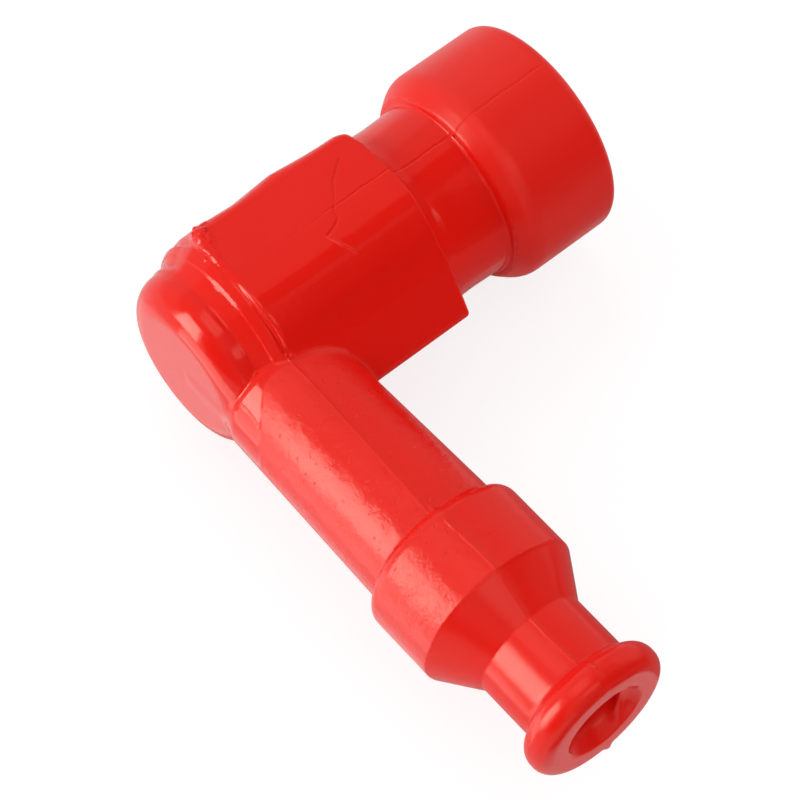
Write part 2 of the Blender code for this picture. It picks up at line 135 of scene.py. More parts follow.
LEAD_HOLLOW = [(LEAD_FACE + 2, 0), (LEAD_FACE + 2, LEAD_MOUTH_RADIUS, 0.1), (LEAD_FACE, LEAD_MOUTH_RADIUS, 2),
               (59.6, 3.8, 2),
               (57.5, LEAD_BORE_RADIUS, 1.5), (CORE_FRONT, LEAD_BORE_RADIUS, 0.3),
               (CORE_FRONT, CORE_RADIUS, 0.3), (CORE_BACK, CORE_RADIUS, 0.3), (CORE_BACK, 0)]
half_side = GRIP_LEAD_CORNER / 2
GRIP = [(GRIP_LEAD_CORNER, 0.0, 0.8), (half_side, GRIP_HALF_WIDTH, 6.5), (-half_side, GRIP_HALF_WIDTH, 2.1),
        (-GRIP_LEAD_CORNER, 0.0, 12.0), (-half_side, -GRIP_HALF_WIDTH, 2.1),
        (half_side, -GRIP_HALF_WIDTH, 4.5)]


class Outline:
    """A chain of straight runs with a round at each corner, and the signed distance to it."""

    def __init__(self, corners, closed=False):
        points = [np.array(corner[:2], float) for corner in corners]
        count = len(points)
        starts = list(points)
        ends = list(points)
        self.arcs = []
        for i in range(count) if closed else range(1, count - 1):
            before = points[i] - points[i - 1]
            after = points[(i + 1) % count] - points[i]
            before /= np.linalg.norm(before)
            after /= np.linalg.norm(after)
            bend = before[0] * after[1] - before[1] * after[0]
            size = corners[i][2]
            reach = size * math.tan(math.acos(np.clip(before @ after, -1.0, 1.0)) / 2)
            if reach < 1e-4:
                continue
            starts[i] = points[i] - before * reach
            ends[i] = points[i] + after * reach
            side = math.copysign(1.0, bend)
            centre = starts[i] + side * size * np.array((-before[1], before[0]))
            self.arcs.append((centre, size, side, starts[i] - centre, ends[i] - centre))
        last = count if closed else count - 1
        self.runs = [(ends[i], starts[(i + 1) % count]) for i in range(last)]

    def distance(self, first, second):
        """Positive to the right of the chain's direction, which is outside the solid."""
        near = np.full(first.shape, np.inf)
        signed = np.full(first.shape, np.inf)
        for start, end in self.runs:
            step = end - start
            x = first - start[0]
            y = second - start[1]
            share = np.clip((x * step[0] + y * step[1]) / (step @ step), 0.0, 1.0)
            apart = np.hypot(x - share * step[0], y - share * step[1])
            side = np.where(y * step[0] - x * step[1] > 0, -1.0, 1.0)
            closer = apart < near
            near = np.where(closer, apart, near)
            signed = np.where(closer, side * apart, signed)
        for centre, size, side, start, end in self.arcs:
            x = first - centre[0]
            y = second - centre[1]
            apart = np.hypot(x, y) - size
            within = (side * (start[0] * y - start[1] * x) >= 0) & (side * (x * end[1] - y * end[0]) >= 0)
            closer = within & (np.abs(apart) < near)
            near = np.where(closer, np.abs(apart), near)
            signed = np.where(closer, side * apart, signed)
        return signed


barrel_outline = Outline(BARREL)
arm_outline = Outline(ARM)
grip_outline = Outline(GRIP, closed=True)
socket_outline = Outline(PLUG_SOCKET)
hollow_outline = Outline(LEAD_HOLLOW)


def joined(first, second, blend):
    """Two distances as one solid, with a fillet of about the blend's size."""
    share = np.maximum(blend - np.abs(first - second), 0.0) / blend
    return np.minimum(first, second) - share * share * blend / 4


def common(first, second, blend):
    """What two solids share, with the edge rounded."""
    return -joined(-first, -second, blend)


def between(values, low, high, soft):
    """1 between two places, fading to 0 over a soft stretch outside them."""
    up = np.clip((values - low + soft) / soft, 0.0, 1.0)
    down = np.clip((high + soft - values) / soft, 0.0, 1.0)
    both = np.minimum(up, down)
    return both * both * (3 - 2 * both)


def near_line(points, places):
    """Distance to a chain of points, for the marks that follow a line. Far places are left at infinity."""
    close = np.all((places > points.min(axis=0) - 1.5) & (places < points.max(axis=0) + 1.5), axis=1)
    part = places[close]
    near = np.full(len(part), np.inf)
    for start, end in zip(points, points[1:]):
        step = end - start
        share = np.clip((part - start) @ step / (step @ step), 0.0, 1.0)
        near = np.minimum(near, np.linalg.norm(part - start - share[:, None] * step, axis=1))
    far = np.full(len(places), np.inf)
    far[close] = near
    return far


def bump(points, places, height, width):
    """A rounded ridge along a line, or a groove if its height is negative."""
    return height * np.exp(-(near_line(points, places) / width) ** 2)


def plain_form(places):
    """Signed distance to the outside without its marks, positive outside it."""
    plug, lead, up = places.T
    from_plug_axis = np.hypot(lead, up)
    from_lead_axis = np.hypot(plug, up)
    barrel = barrel_outline.distance(plug, from_plug_axis)
    end_round = 0.5 + 1.3 * between(lead, -40, -7.0, 3.0)
    grip = common(grip_outline.distance(lead, up), np.abs(plug - GRIP_FRONT / 2) - GRIP_FRONT / 2, end_round)
    arm = arm_outline.distance(lead, from_lead_axis)
    arm_fillet = 0.3 + 0.7 * between(plug, 1.0, 40.0, 2.0)
    return joined(joined(barrel, grip, 0.3), arm, arm_fillet)


def slope(form, places):
    """The direction in which a form's distance grows, from central differences."""
    step = 0.01
    parts = []
    for axis in np.eye(3) * step:
        parts.append(form(places + axis) - form(places - axis))
    grown = np.stack(parts, axis=1) / (2 * step)
    return grown / np.maximum(np.linalg.norm(grown, axis=1, keepdims=True), 1e-9)


def along_surface(corners):
    """A chain of points about a millimetre apart, brought onto the plain form."""
    places = []
    for start, end in zip(corners, corners[1:]):
        start = np.array(start, float)
        step = np.array(end, float) - start
        count = max(1, round(np.linalg.norm(step)))
        places += [start + step * i / count for i in range(count)]
    places = np.array(places + [np.array(corners[-1], float)])
    for _ in range(4):
        places = places - plain_form(places)[:, None] * slope(plain_form, places)
    return places


# Marks that the mould and the trimming left, as places on the surface
crease = along_surface([(18.67, -4.0, 12.9), (16.43, -2.3, 12.85), (14.49, 0.25, 12.8), (13.9, 0.9, 12.8),
                        (13.63, 1.87, 12.75), (12.6, 2.5, 12.7), (11.34, 2.89, 12.65)])
crease_lip = along_surface([(11.25, 3.0, 12.65), (11.93, 4.78, 12.45), (12.85, 6.3, 12.2)])
crease_hook = along_surface([(13.9, 7.6, 11.9), (14.24, 8.3, 11.6), (14.3, 8.9, 11.2)])
rear_ridge = along_surface([(0.9, -4.6, 12.9), (0.6, -1.5, 12.9), (0.25, 2.0, 12.7), (0.05, 5.6, 12.0),
                            (0.0, 8.2, 10.5), (-0.1, 9.7, 8.4)])
arm_parting = along_surface([(-0.1, 9.3, 8.0), (0.0, 12.6, 7.95), (-0.4, 22.3, 8.1), (-0.9, 32.7, 8.35),
                             (-1.0, 34.3, 8.4)])
sleeve_parting = along_surface([(-0.85, 36.8, 10.1), (-0.57, 41.8, 10.1), (-0.6, 44.4, 10.1),
                                (-0.45, 49.7, 6.8), (-0.5, 52.2, 6.8), (-0.3, 56.5, 6.8), (0.0, 57.6, 7.6),
                                (0.3, 59.0, 8.7)])
arm_tear = along_surface([(-6.4, 9.4, 4.6), (-6.4, 11.1, 4.7), (-6.6, 12.7, 4.4)])
NUBS = [(-0.85, 30.9, 8.3), (-0.95, 32.6, 8.35), (-0.4, 34.2, 8.6)]
SINK_DENTS = [((15.6, 4.1, 12.6), (2.3, 1.2, 2.0), 0.10), ((18.0, 8.0, 11.5), (3.0, 1.5, 2.0), 0.05),
              ((6.0, 6.0, 12.0), (4.0, 1.2, 2.0), -0.05), ((6.5, -3.0, 12.6), (3.0, 2.0, 2.0), 0.05),
              ((11.5, -4.5, 12.6), (1.6, 3.0, 2.0), 0.04), ((27.4, 1.6, 10.8), (1.8, 1.0, 2.0), -0.02)]
GRIP_SWEEP = ((0.0, 6.7, 12.0, 16.5, 19.0, 22.0), (0.0, -0.35, 0.1, -0.3, -0.45, -0.45))
GRIP_CROWN = 0.16
FLANGE_TRIM = 0.45
PARTING_STEPS = (4.0, 13.0, 14.5, 22.4, 22.6, 31.0, 31.2, 43.2, 44.0)
PARTING_DEPTHS = (0, 0.03, 0.06, 0.06, 0.09, 0.09, 0.05, 0.05, 0)
PARTING_ON_GRIP = 0.45
PARTING_ON_COLLAR = 1.1
mouth_flash = np.array([(2.0, 60.6, 4.2), (3.0, 60.0, 2.2), (3.5, 59.8, -0.6), (2.6, 60.4, -3.8)])
MOUTH_TAB = (1.1, 61.0, -8.0)
GATE_LUMPS = 44
GATE_SEED = 11


def lumps(seed, count, middle, reach, width, height):
    """Places, widths and heights of the small lumps on a torn patch."""
    chance = np.random.default_rng(seed)
    spots = np.array(middle) + chance.normal(size=(count, 3)) * np.array(reach)
    for _ in range(4):
        spots = spots - plain_form(spots)[:, None] * slope(plain_form, spots)
    return spots, width * chance.uniform(0.7, 1.5, count), height * chance.uniform(-0.3, 1.0, count)


torn = [lumps(GATE_SEED, GATE_LUMPS, (1.1, -6.2, 12.6), (0.75, 1.0, 0.4), 0.24, 0.24),
        lumps(GATE_SEED + 1, 10, (-0.1, -3.9, 12.6), (0.3, 1.2, 0.2), 0.24, 0.16),
        lumps(GATE_SEED + 2, 8, (-0.4, -9.3, 8.8), (0.3, 0.8, 0.8), 0.24, 0.20)]


def dent(places, middle, reach, depth):
    """A soft hollow, by its middle, its reach each way and its depth."""
    away = (places - np.array(middle)) / np.array(reach)
    return -depth * np.exp(-np.sum(away * away, axis=1))


def marks(places):
    """How far the surface stands out from the plain form: crown, trimming, dents, parting lines and tears."""
    plug, lead, up = places.T
    round_plug = np.degrees(np.arctan2(lead, up))
    on_grip = between(plug, 0.6, GRIP_FRONT + 1, 1.2)
    outer = between(np.hypot(lead, up), 10, 30, 1)
    top = between(up, 9.0, 40.0, 3.0)
    on_flat = between(lead, -half_side, half_side, 1.0)
    out = GRIP_CROWN * (1 - (lead / half_side) ** 2) * on_grip * on_flat * top
    out -= 0.007 * np.clip(lead - 0.6, 0, 6) ** 2 * on_grip * top
    out += np.interp(plug, *GRIP_SWEEP) * on_grip * between(lead, -40, -7.8, 1.6)
    out -= 0.09 * np.clip(-8.0 - lead, 0, 8) * on_grip
    out -= FLANGE_TRIM * between(plug, -2.0, 0.0, 1.2) * between(round_plug, -80, -45, 18) * outer
    for middle, reach, depth in SINK_DENTS:
        out += dent(places, middle, reach, depth)
    wander = 0.05 * np.sin(plug * 1.3) + 0.03 * np.sin(plug * 4.1)
    deep = np.interp(plug, PARTING_STEPS, PARTING_DEPTHS)
    wide = np.where(plug < GRIP_FRONT, 0.09, 0.12)
    across = np.where(plug < COLLAR_BACK, lead - PARTING_ON_GRIP, lead - PARTING_ON_COLLAR) - wander
    out -= deep * np.exp(-(across / wide) ** 2) * outer
    out += bump(crease, places, -0.13, 0.14) + bump(crease_lip, places, 0.12, 0.15)
    out += bump(crease_hook, places, 0.12, 0.13) + bump(rear_ridge, places, 0.08, 0.16)
    out += bump(arm_parting, places, 0.09, 0.14) + bump(sleeve_parting, places, 0.18, 0.15)
    out += bump(arm_tear, places, -0.12, 0.10) + dent(places, MOUTH_TAB, (0.5, 0.6, 0.5), -0.45)
    for nub in NUBS:
        out += dent(places, nub, (0.25, 0.45, 0.4), -0.14)
    for spots, widths, heights in torn:
        near = np.linalg.norm(places - spots.mean(axis=0), axis=1) < 5
        part = np.zeros(len(places))
        for spot, width, height in zip(spots, widths, heights):
            away = places[near] - spot
            part[near] += height * np.exp(-np.sum(away * away, axis=1) / width ** 2)
        out += part
    return out


def boot_distance(places):
    """Signed distance to the moulded form, positive outside it."""
    plug, lead, up = places.T
    outside = plain_form(places) - marks(places)
    socket = socket_outline.distance(plug, np.hypot(lead, up))
    hollow = np.minimum(socket, hollow_outline.distance(lead, np.hypot(plug, up)))
    flash = bump(mouth_flash, places, 0.5, 0.65)
    return common(outside, -hollow - flash, 0.3)


def settle(places, rounds):
    """Move points onto the moulded form, and return them with the form's own normals."""
    for _ in range(rounds):
        normals = slope(boot_distance, places)
        move = np.clip(boot_distance(places), -0.6, 0.6)
        places = places - move[:, None] * normals
    return places, slope(boot_distance, places)


BASE_GRAIN = 0.5
FINEST_EDGE = 0.14
SHARPEST_TURN = math.radians(10.5)
MARK_REACH = 0.4
REFINE_PASSES = 3


def from_world(points):
    """Millimetres from the elbow: along the plug, along the lead, and up."""
    local = (points - np.array(ELBOW)) / MM
    return local * np.array((1.0, -1.0, 1.0))


def to_world(places):
    """The same places in the shared frame, in metres."""
    return places * np.array((1.0, -1.0, 1.0)) * MM + np.array(ELBOW)


def coordinates(mesh):
    """A mesh's vertices as one array."""
    points = np.empty(len(mesh.vertices) * 3)
    mesh.vertices.foreach_get("co", points)
    return points.reshape(-1, 3)


def make_boot_mesh():
    """A fine, even copy of the plain solid, settled onto the moulded form and refined where that bends."""
    base = bpy.data.objects.new("boot_base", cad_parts["boot"].data.copy())
    bpy.context.scene.collection.objects.link(base)
    loose = bmesh.new()
    loose.from_mesh(base.data)
    bmesh.ops.remove_doubles(loose, verts=loose.verts, dist=0.002 * MM)
    loose.to_mesh(base.data)
    loose.free()
    remesh = base.modifiers.new("even_grain", "REMESH")
    remesh.mode = "VOXEL"
    remesh.voxel_size = BASE_GRAIN * MM
    bpy.context.view_layer.update()
    even = bpy.data.meshes.new_from_object(base.evaluated_get(bpy.context.evaluated_depsgraph_get()))
    bpy.data.objects.remove(base)

    fine = bmesh.new()
    fine.from_mesh(even)
    bmesh.ops.triangulate(fine, faces=fine.faces)
    places, normals = settle(from_world(coordinates(even)), 4)
    for _ in range(REFINE_PASSES):
        fine.verts.ensure_lookup_table()
        ends = np.array([(edge.verts[0].index, edge.verts[1].index) for edge in fine.edges])
        lengths = np.linalg.norm(places[ends[:, 0]] - places[ends[:, 1]], axis=1)
        turns = np.arccos(np.clip(np.sum(normals[ends[:, 0]] * normals[ends[:, 1]], axis=1), -1.0, 1.0))
        wanted = (lengths > 2 * FINEST_EDGE) & (turns > SHARPEST_TURN)
        marked = near_any_mark((places[ends[:, 0]] + places[ends[:, 1]]) / 2)
        wanted |= marked & (lengths > 1.6 * FINEST_EDGE)
        fine.edges.ensure_lookup_table()
        chosen = [fine.edges[i] for i in np.flatnonzero(wanted)]
        for vert, point in zip(fine.verts, places):
            vert.co = point
        bmesh.ops.subdivide_edges(fine, edges=chosen, cuts=1)
        bmesh.ops.triangulate(fine, faces=fine.faces)
        fine.verts.index_update()
        places, normals = settle(np.array([vert.co[:] for vert in fine.verts]), 2)
    mesh = bpy.data.meshes.new("moulded_boot")
    for vert, point in zip(fine.verts, to_world(places)):
        vert.co = point
    fine.to_mesh(mesh)
    fine.free()
    mesh.shade_smooth()
    mesh.normals_split_custom_set_from_vertices(normals * np.array((1.0, -1.0, 1.0)))
    return mesh


def near_any_mark(places):
    """Where the mesh has to be finest."""
    plug, lead, up = places.T
    outside = np.hypot(lead, up) > 10
    hit = (np.abs(lead - 0.5) < MARK_REACH) & (plug > 1) & (plug < COLLAR_BACK) & outside
    hit |= (np.abs(lead - PARTING_ON_COLLAR) < MARK_REACH) & (plug >= COLLAR_BACK) & (plug < 44) & outside
    lines = (crease, crease_lip, crease_hook, rear_ridge, arm_parting, sleeve_parting, arm_tear, mouth_flash)
    for line in lines:
        hit |= near_line(line, places) < MARK_REACH
    for spots, widths, heights in torn:
        hit |= np.linalg.norm(places - spots.mean(axis=0), axis=1) < 3 * spots.std(axis=0).max()
    return hit


class Nodes:
    """A node tree, where a call adds one node."""

    def __init__(self, tree):
        self.tree = tree

    def add(self, kind, settings=None, output=0, **values):
        """One node: its settings first, then its sockets by name, with _ for a space. Returns an output."""
        node = self.tree.nodes.new(kind)
        for key, value in (settings or {}).items():
            setattr(node, key, value)
        for key, value in values.items():
            socket = node.inputs[int(key[1:])] if key[1:].isdigit() else node.inputs[key.replace("_", " ")]
            self.put(socket, value)
        return Socket(self, node.outputs[output])

    def put(self, socket, value):
        """Set a socket, or link it."""
        if isinstance(value, Socket):
            self.tree.links.new(value.socket, socket)
        else:
            socket.default_value = value


class Finish(Nodes):
    """A material's nodes, round its Principled shader."""

    def __init__(self, name):
        self.material = bpy.data.materials.new(name)
        self.material.use_nodes = True
        super().__init__(self.material.node_tree)
        self.shader = self.tree.nodes["Principled BSDF"]

    def surface(self, **values):
        """Set the Principled shader's own sockets."""
        for key, value in values.items():
            self.put(self.shader.inputs[key.replace("_", " ")], value)


class Socket:
    """An output socket that Python's operators work on."""

    def __init__(self, nodes, socket):
        self.nodes = nodes
        self.socket = socket

    def maths(self, operation, first, second):
        return self.nodes.add("ShaderNodeMath", {"operation": operation}, _0=first, _1=second)

    def of(self, operation, other=0.0):
        """A function that has no sign in Python."""
        return self.maths(operation, self, other)

    def __add__(self, other):
        return self.maths("ADD", self, other)

    def __radd__(self, other):
        return self.maths("ADD", other, self)

    def __sub__(self, other):
        return self.maths("SUBTRACT", self, other)

    def __rsub__(self, other):
        return self.maths("SUBTRACT", other, self)

    def __mul__(self, other):
        return self.maths("MULTIPLY", self, other)

    def __rmul__(self, other):
        return self.maths("MULTIPLY", other, self)


def rubber():
    """Glossy red rubber, with a duller collar and a duller, blotched lead arm."""
    nodes = Finish("red_rubber")
    place = nodes.add("ShaderNodeTexCoord", output=3)
    east = nodes.add("ShaderNodeSeparateXYZ", Vector=place)
    north = nodes.add("ShaderNodeSeparateXYZ", Vector=place, output=1)

    def beyond(value, start, end):
        """0 before a stretch and 1 after it."""
        return nodes.add("ShaderNodeMapRange", Value=value, From_Min=start, From_Max=end)

    def on_plug(place):
        return ELBOW.x + place * MM

    def on_lead(place):
        return ELBOW.y - place * MM

    collar = beyond(east, on_plug(30.5), on_plug(31.5))
    past_patch = (on_plug(-3.6) - east).of("MAXIMUM") * 0.96
    from_middle = (east - ELBOW.x).of("MAXIMUM")
    past_root = from_middle * from_middle * 40.0 + (east - on_plug(6.6)).of("MAXIMUM") * 1.6
    arm = beyond(ELBOW.y - north - past_patch - past_root, 9.9 * MM, 10.4 * MM)
    root = beyond(north, on_lead(19.0), on_lead(12.0))
    sleeve = beyond(north, on_lead(34.0), on_lead(36.0))
    taper = beyond(north, on_lead(44.3), on_lead(44.7))
    drift = nodes.add("ShaderNodeTexNoise", Vector=place, Scale=140.0, Detail=3.0)
    skin = nodes.add("ShaderNodeTexNoise", Vector=place, Scale=900.0, Detail=4.0)
    blotch = nodes.add("ShaderNodeTexNoise", Vector=place, Scale=520.0, Detail=4.0, Roughness=0.6)
    pits = beyond(nodes.add("ShaderNodeTexNoise", Vector=place, Scale=1500.0, Detail=2.0), 0.66, 0.76)
    dull = arm - taper
    rough = 0.11 + collar * 0.20 + arm * (root * 0.10 + 0.13) + sleeve * 0.02 - taper * 0.05 + skin * 0.05
    colour = nodes.add("ShaderNodeMix", {"data_type": "RGBA"}, output=2, _0=drift,
                       _6=(0.78, 0.0085, 0.0044, 1), _7=(0.82, 0.0100, 0.0050, 1))
    height = blotch * (dull * 1.5 + 0.3) - pits * dull * 0.5 + skin * 0.12
    relief = nodes.add("ShaderNodeBump", Strength=1.0, Distance=0.00008, Height=height)
    nodes.surface(Base_Color=colour, Roughness=rough, Normal=relief, IOR=1.45,
                  Specular_Tint=(1, 0.96, 0.80, 1))
    return nodes.material


boot = bpy.data.objects.new("moulded_boot", make_boot_mesh())
bpy.context.scene.collection.objects.link(boot)
boot.data.materials.clear()
boot.data.materials.append(rubber())
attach(boot, "root")
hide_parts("boot")


# Contact train
# Turned brass, drawn steel wire, plated cups and a ceramic rod, stacked inside the boot.
def metal(name, colour, roughness, ring_scale):
    """Bare metal with fine turning rings and a soft change of polish."""
    nodes = Finish(name)
    place = nodes.add("ShaderNodeTexCoord", output=3)
    polish = nodes.add("ShaderNodeTexNoise", Vector=place, Scale=400.0, Detail=3.0)
    rings = nodes.add("ShaderNodeTexWave", {"bands_direction": "DIAGONAL"}, Vector=place, Scale=ring_scale)
    height = nodes.add("ShaderNodeBump", Strength=0.2, Distance=0.00003, Height=rings)
    dark = tuple(0.8 * part for part in colour)
    tint = nodes.add("ShaderNodeMix", {"data_type": "RGBA"}, output=2, _0=polish,
                     _6=(*dark, 1), _7=(*colour, 1))
    nodes.surface(Base_Color=tint, Roughness=roughness + polish * 0.12, Metallic=1.0, Normal=height)
    return nodes.material


finishes = {
    "terminal_socket": metal("turned_brass", (0.78, 0.57, 0.25), 0.22, 900.0),
    "snap_ring": metal("spring_steel", (0.62, 0.62, 0.60), 0.2, 1500.0),
    "resistor_cap_rear": metal("plated_cups", (0.70, 0.69, 0.66), 0.25, 700.0),
}
finishes["contact_block"] = finishes["lead_screw"] = finishes["terminal_socket"]
finishes["contact_spring"] = finishes["snap_ring"]
finishes["resistor_cap_front"] = finishes["resistor_cap_rear"]


def ceramic():
    """Fired white ceramic with a fine grain."""
    nodes = Finish("white_ceramic")
    place = nodes.add("ShaderNodeTexCoord", output=3)
    grain = nodes.add("ShaderNodeTexNoise", Vector=place, Scale=1200.0, Detail=3.0)
    tint = nodes.add("ShaderNodeMix", {"data_type": "RGBA"}, output=2, _0=grain,
                     _6=(0.78, 0.76, 0.69, 1), _7=(0.86, 0.84, 0.78, 1))
    height = nodes.add("ShaderNodeBump", Strength=0.15, Distance=0.00003, Height=grain)
    nodes.surface(Base_Color=tint, Roughness=0.3 + grain * 0.15, Normal=height)
    return nodes.material


finishes["resistor"] = ceramic()
for name, finish in finishes.items():
    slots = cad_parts[name].data.materials
    slots.clear()
    slots.append(finish)


# Contact spring and lead screw
# The spring is drawn steel wire with its end turns closed up. The screw is turned brass, with a thread rolled
# on its shank that runs out at both ends, and its point bites into the core of the lead.
STEPS_A_TURN = 40
WIRE_SIDES = 14
TURNED_SIDES = 64
CORE_CLEARANCE = 0.3
EDGE_CHAMFER = 0.4
TRAIN_RADIUS = 3.5
SPRING_WIRE = 0.4
SPRING_BACK = 6.1
SPRING_FRONT = 12.1
SPRING_TURNS = 4
END_CLOSING = 0.5
SCREW_BACK = 28.9
SCREW_HEAD_FRONT = 31.3
SCREW_SHANK = 1.2
SCREW_POINT_BACK = 39.8
SCREW_TIP = 42.8
THREAD_PITCH = 1.5
THREAD_RIDGE = 0.45


class Recipe(Nodes):
    """A Geometry Nodes tree with its sizes as named inputs."""

    def __init__(self, name, sizes):
        super().__init__(bpy.data.node_groups.new(name, "GeometryNodeTree"))
        self.sizes = sizes
        self.tree.interface.new_socket("Shape", in_out="OUTPUT", socket_type="NodeSocketGeometry")
        for size in sizes:
            self.tree.interface.new_socket(size, in_out="INPUT", socket_type="NodeSocketFloat")
        inlet = self.tree.nodes.new("NodeGroupInput")
        self.given = {size: Socket(self, inlet.outputs[size]) for size in sizes}

    def made(self, shape, material):
        """End the tree, run it once and return a plain mesh."""
        whole = self.add("GeometryNodeRealizeInstances", Geometry=shape)
        coloured = self.add("GeometryNodeSetMaterial", Geometry=whole, Material=material)
        outlet = self.tree.nodes.new("NodeGroupOutput")
        self.put(outlet.inputs["Shape"], coloured)
        maker = bpy.data.objects.new(self.tree.name, bpy.data.meshes.new(self.tree.name))
        bpy.context.scene.collection.objects.link(maker)
        run = maker.modifiers.new("recipe", "NODES")
        run.node_group = self.tree
        for item in self.tree.interface.items_tree:
            if item.in_out == "INPUT":
                run[item.identifier] = float(self.sizes[item.name])
        bpy.context.view_layer.update()
        mesh = bpy.data.meshes.new_from_object(maker.evaluated_get(bpy.context.evaluated_depsgraph_get()))
        bpy.data.objects.remove(maker)
        return mesh


def coil_mesh(name, sizes, material):
    """A wire wound round the lead arm's axis, from its sizes in millimetres."""
    recipe = Recipe(name, sizes)
    given = recipe.given
    path = recipe.add("GeometryNodeCurvePrimitiveLine")
    points = recipe.add("GeometryNodeResampleCurve", Curve=path, Count=given["Turns"] * STEPS_A_TURN)
    share = recipe.add("GeometryNodeSplineParameter")
    angle = share * given["Turns"] * math.tau
    closing = (share * math.tau).of("SINE") * given["Closing"] * (1 / math.tau)
    along = given["Start"] + (share - closing) * (given["End"] - given["Start"])
    radius = given["Radius"] * MM
    place = recipe.add("ShaderNodeCombineXYZ", X=angle.of("COSINE") * radius + ELBOW.x,
                       Y=along * -MM + ELBOW.y, Z=angle.of("SINE") * radius + ELBOW.z)
    wound = recipe.add("GeometryNodeSetPosition", Geometry=points, Position=place)
    from_end = share.of("MINIMUM", 1.0 - share)
    full = (from_end * given["Turns"] * 2).of("MINIMUM", 1.0)
    size = full * given["Run-out"] + (1.0 - given["Run-out"])
    ring = recipe.add("GeometryNodeCurvePrimitiveCircle", Resolution=WIRE_SIDES, Radius=given["Wire"] * MM)
    wire = recipe.add("GeometryNodeCurveToMesh", Curve=wound, Profile_Curve=ring,
                      Scale=size.of("MAXIMUM", 0.05), Fill_Caps=True)
    smooth = recipe.add("GeometryNodeSetShadeSmooth", Geometry=wire)
    return recipe.made(smooth, material)


def turned_mesh(name, profile, steps):
    """A closed turned shape round the lead arm's axis, from places along it and radii in millimetres."""
    shape = bmesh.new()
    rings = []
    for along, radius in profile:
        ring = []
        for i in range(steps if radius > 0 else 1):
            angle = math.tau * i / steps
            spot = Vector((radius * math.cos(angle), -along, radius * math.sin(angle)))
            ring.append(shape.verts.new(ELBOW + spot * MM))
        rings.append(ring)
    for near, far in zip(rings, rings[1:]):
        for i in range(steps):
            j = (i + 1) % steps
            corners = [near[i % len(near)], near[j % len(near)], far[j % len(far)], far[i % len(far)]]
            shape.faces.new(dict.fromkeys(corners))
    bmesh.ops.recalc_face_normals(shape, faces=shape.faces)
    mesh = bpy.data.meshes.new(name)
    shape.to_mesh(mesh)
    shape.free()
    mesh.shade_smooth()
    mesh.set_sharp_from_angle(angle=math.radians(35))
    return mesh


def fit_piece(name, mesh, finish, node):
    """Put a finished mesh in the place of a plain solid."""
    made = bpy.data.objects.new(name, mesh)
    bpy.context.scene.collection.objects.link(made)
    mesh.materials.clear()
    mesh.materials.append(finish)
    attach(made, "root")
    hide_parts(node)
    return made


spring_sizes = {"Radius": TRAIN_RADIUS - SPRING_WIRE - CORE_CLEARANCE, "Wire": SPRING_WIRE,
                "Start": SPRING_BACK + SPRING_WIRE, "End": SPRING_FRONT - SPRING_WIRE,
                "Turns": SPRING_TURNS, "Closing": END_CLOSING, "Run-out": 0.0}
spring_mesh = coil_mesh("contact_spring_coil", spring_sizes, finishes["contact_spring"])
fit_piece("contact_spring_coil", spring_mesh, finishes["contact_spring"], "contact_spring")

thread_start = SCREW_HEAD_FRONT + THREAD_PITCH
thread_turns = (SCREW_POINT_BACK - thread_start) / THREAD_PITCH
thread_sizes = {"Radius": SCREW_SHANK, "Wire": THREAD_RIDGE, "Start": thread_start, "End": SCREW_POINT_BACK,
                "Turns": thread_turns, "Closing": 0.0, "Run-out": 1.0}
thread_mesh = coil_mesh("lead_screw_thread", thread_sizes, finishes["lead_screw"])
screw_profile = [(SCREW_TIP, 0), (SCREW_POINT_BACK, SCREW_SHANK), (SCREW_HEAD_FRONT, SCREW_SHANK),
                 (SCREW_HEAD_FRONT, TRAIN_RADIUS - EDGE_CHAMFER),
                 (SCREW_HEAD_FRONT - EDGE_CHAMFER, TRAIN_RADIUS), (SCREW_BACK, TRAIN_RADIUS), (SCREW_BACK, 0)]
shank_mesh = turned_mesh("lead_screw_shank", screw_profile, TURNED_SIDES)
whole_screw = bmesh.new()
whole_screw.from_mesh(shank_mesh)
whole_screw.from_mesh(thread_mesh)
screw_mesh = bpy.data.meshes.new("lead_screw_turned")
whole_screw.to_mesh(screw_mesh)
whole_screw.free()
fit_piece("lead_screw_turned", screw_mesh, finishes["lead_screw"], "lead_screw")


# Floor, light and background
# A white table under soft lamps, with one large softbox at the back left that the glossy rubber mirrors.
# Cards stand round it for the reflections alone: pale ones on the far side, dark ones on the near side.
TABLE_WHITE = 0.75
TABLE_WHITE_SEEN = 0.28
PAPER_WHITE = 1.07
LAMP_RANGE = 0.9


def table_finish():
    """White card that bounces light, and glows enough for the camera to read white outside the shadow."""
    nodes = Finish("white_table")
    camera_ray = nodes.add("ShaderNodeLightPath")
    glow = nodes.add("ShaderNodeEmission", Strength=PAPER_WHITE - TABLE_WHITE_SEEN)
    none = nodes.add("ShaderNodeEmission", Strength=0.0)
    shown = nodes.add("ShaderNodeMixShader", _0=camera_ray, _1=none, _2=glow)
    whole = nodes.add("ShaderNodeAddShader", _0=Socket(nodes, nodes.shader.outputs[0]), _1=shown)
    nodes.put(nodes.tree.nodes["Material Output"].inputs["Surface"], whole)
    white = nodes.add("ShaderNodeMix", {"data_type": "RGBA"}, output=2, _0=camera_ray,
                      _6=(TABLE_WHITE, TABLE_WHITE, TABLE_WHITE, 1),
                      _7=(TABLE_WHITE_SEEN, TABLE_WHITE_SEEN, TABLE_WHITE_SEEN, 1))
    nodes.surface(Base_Color=white, Roughness=1.0, Specular_IOR_Level=0.0)
    return nodes.material


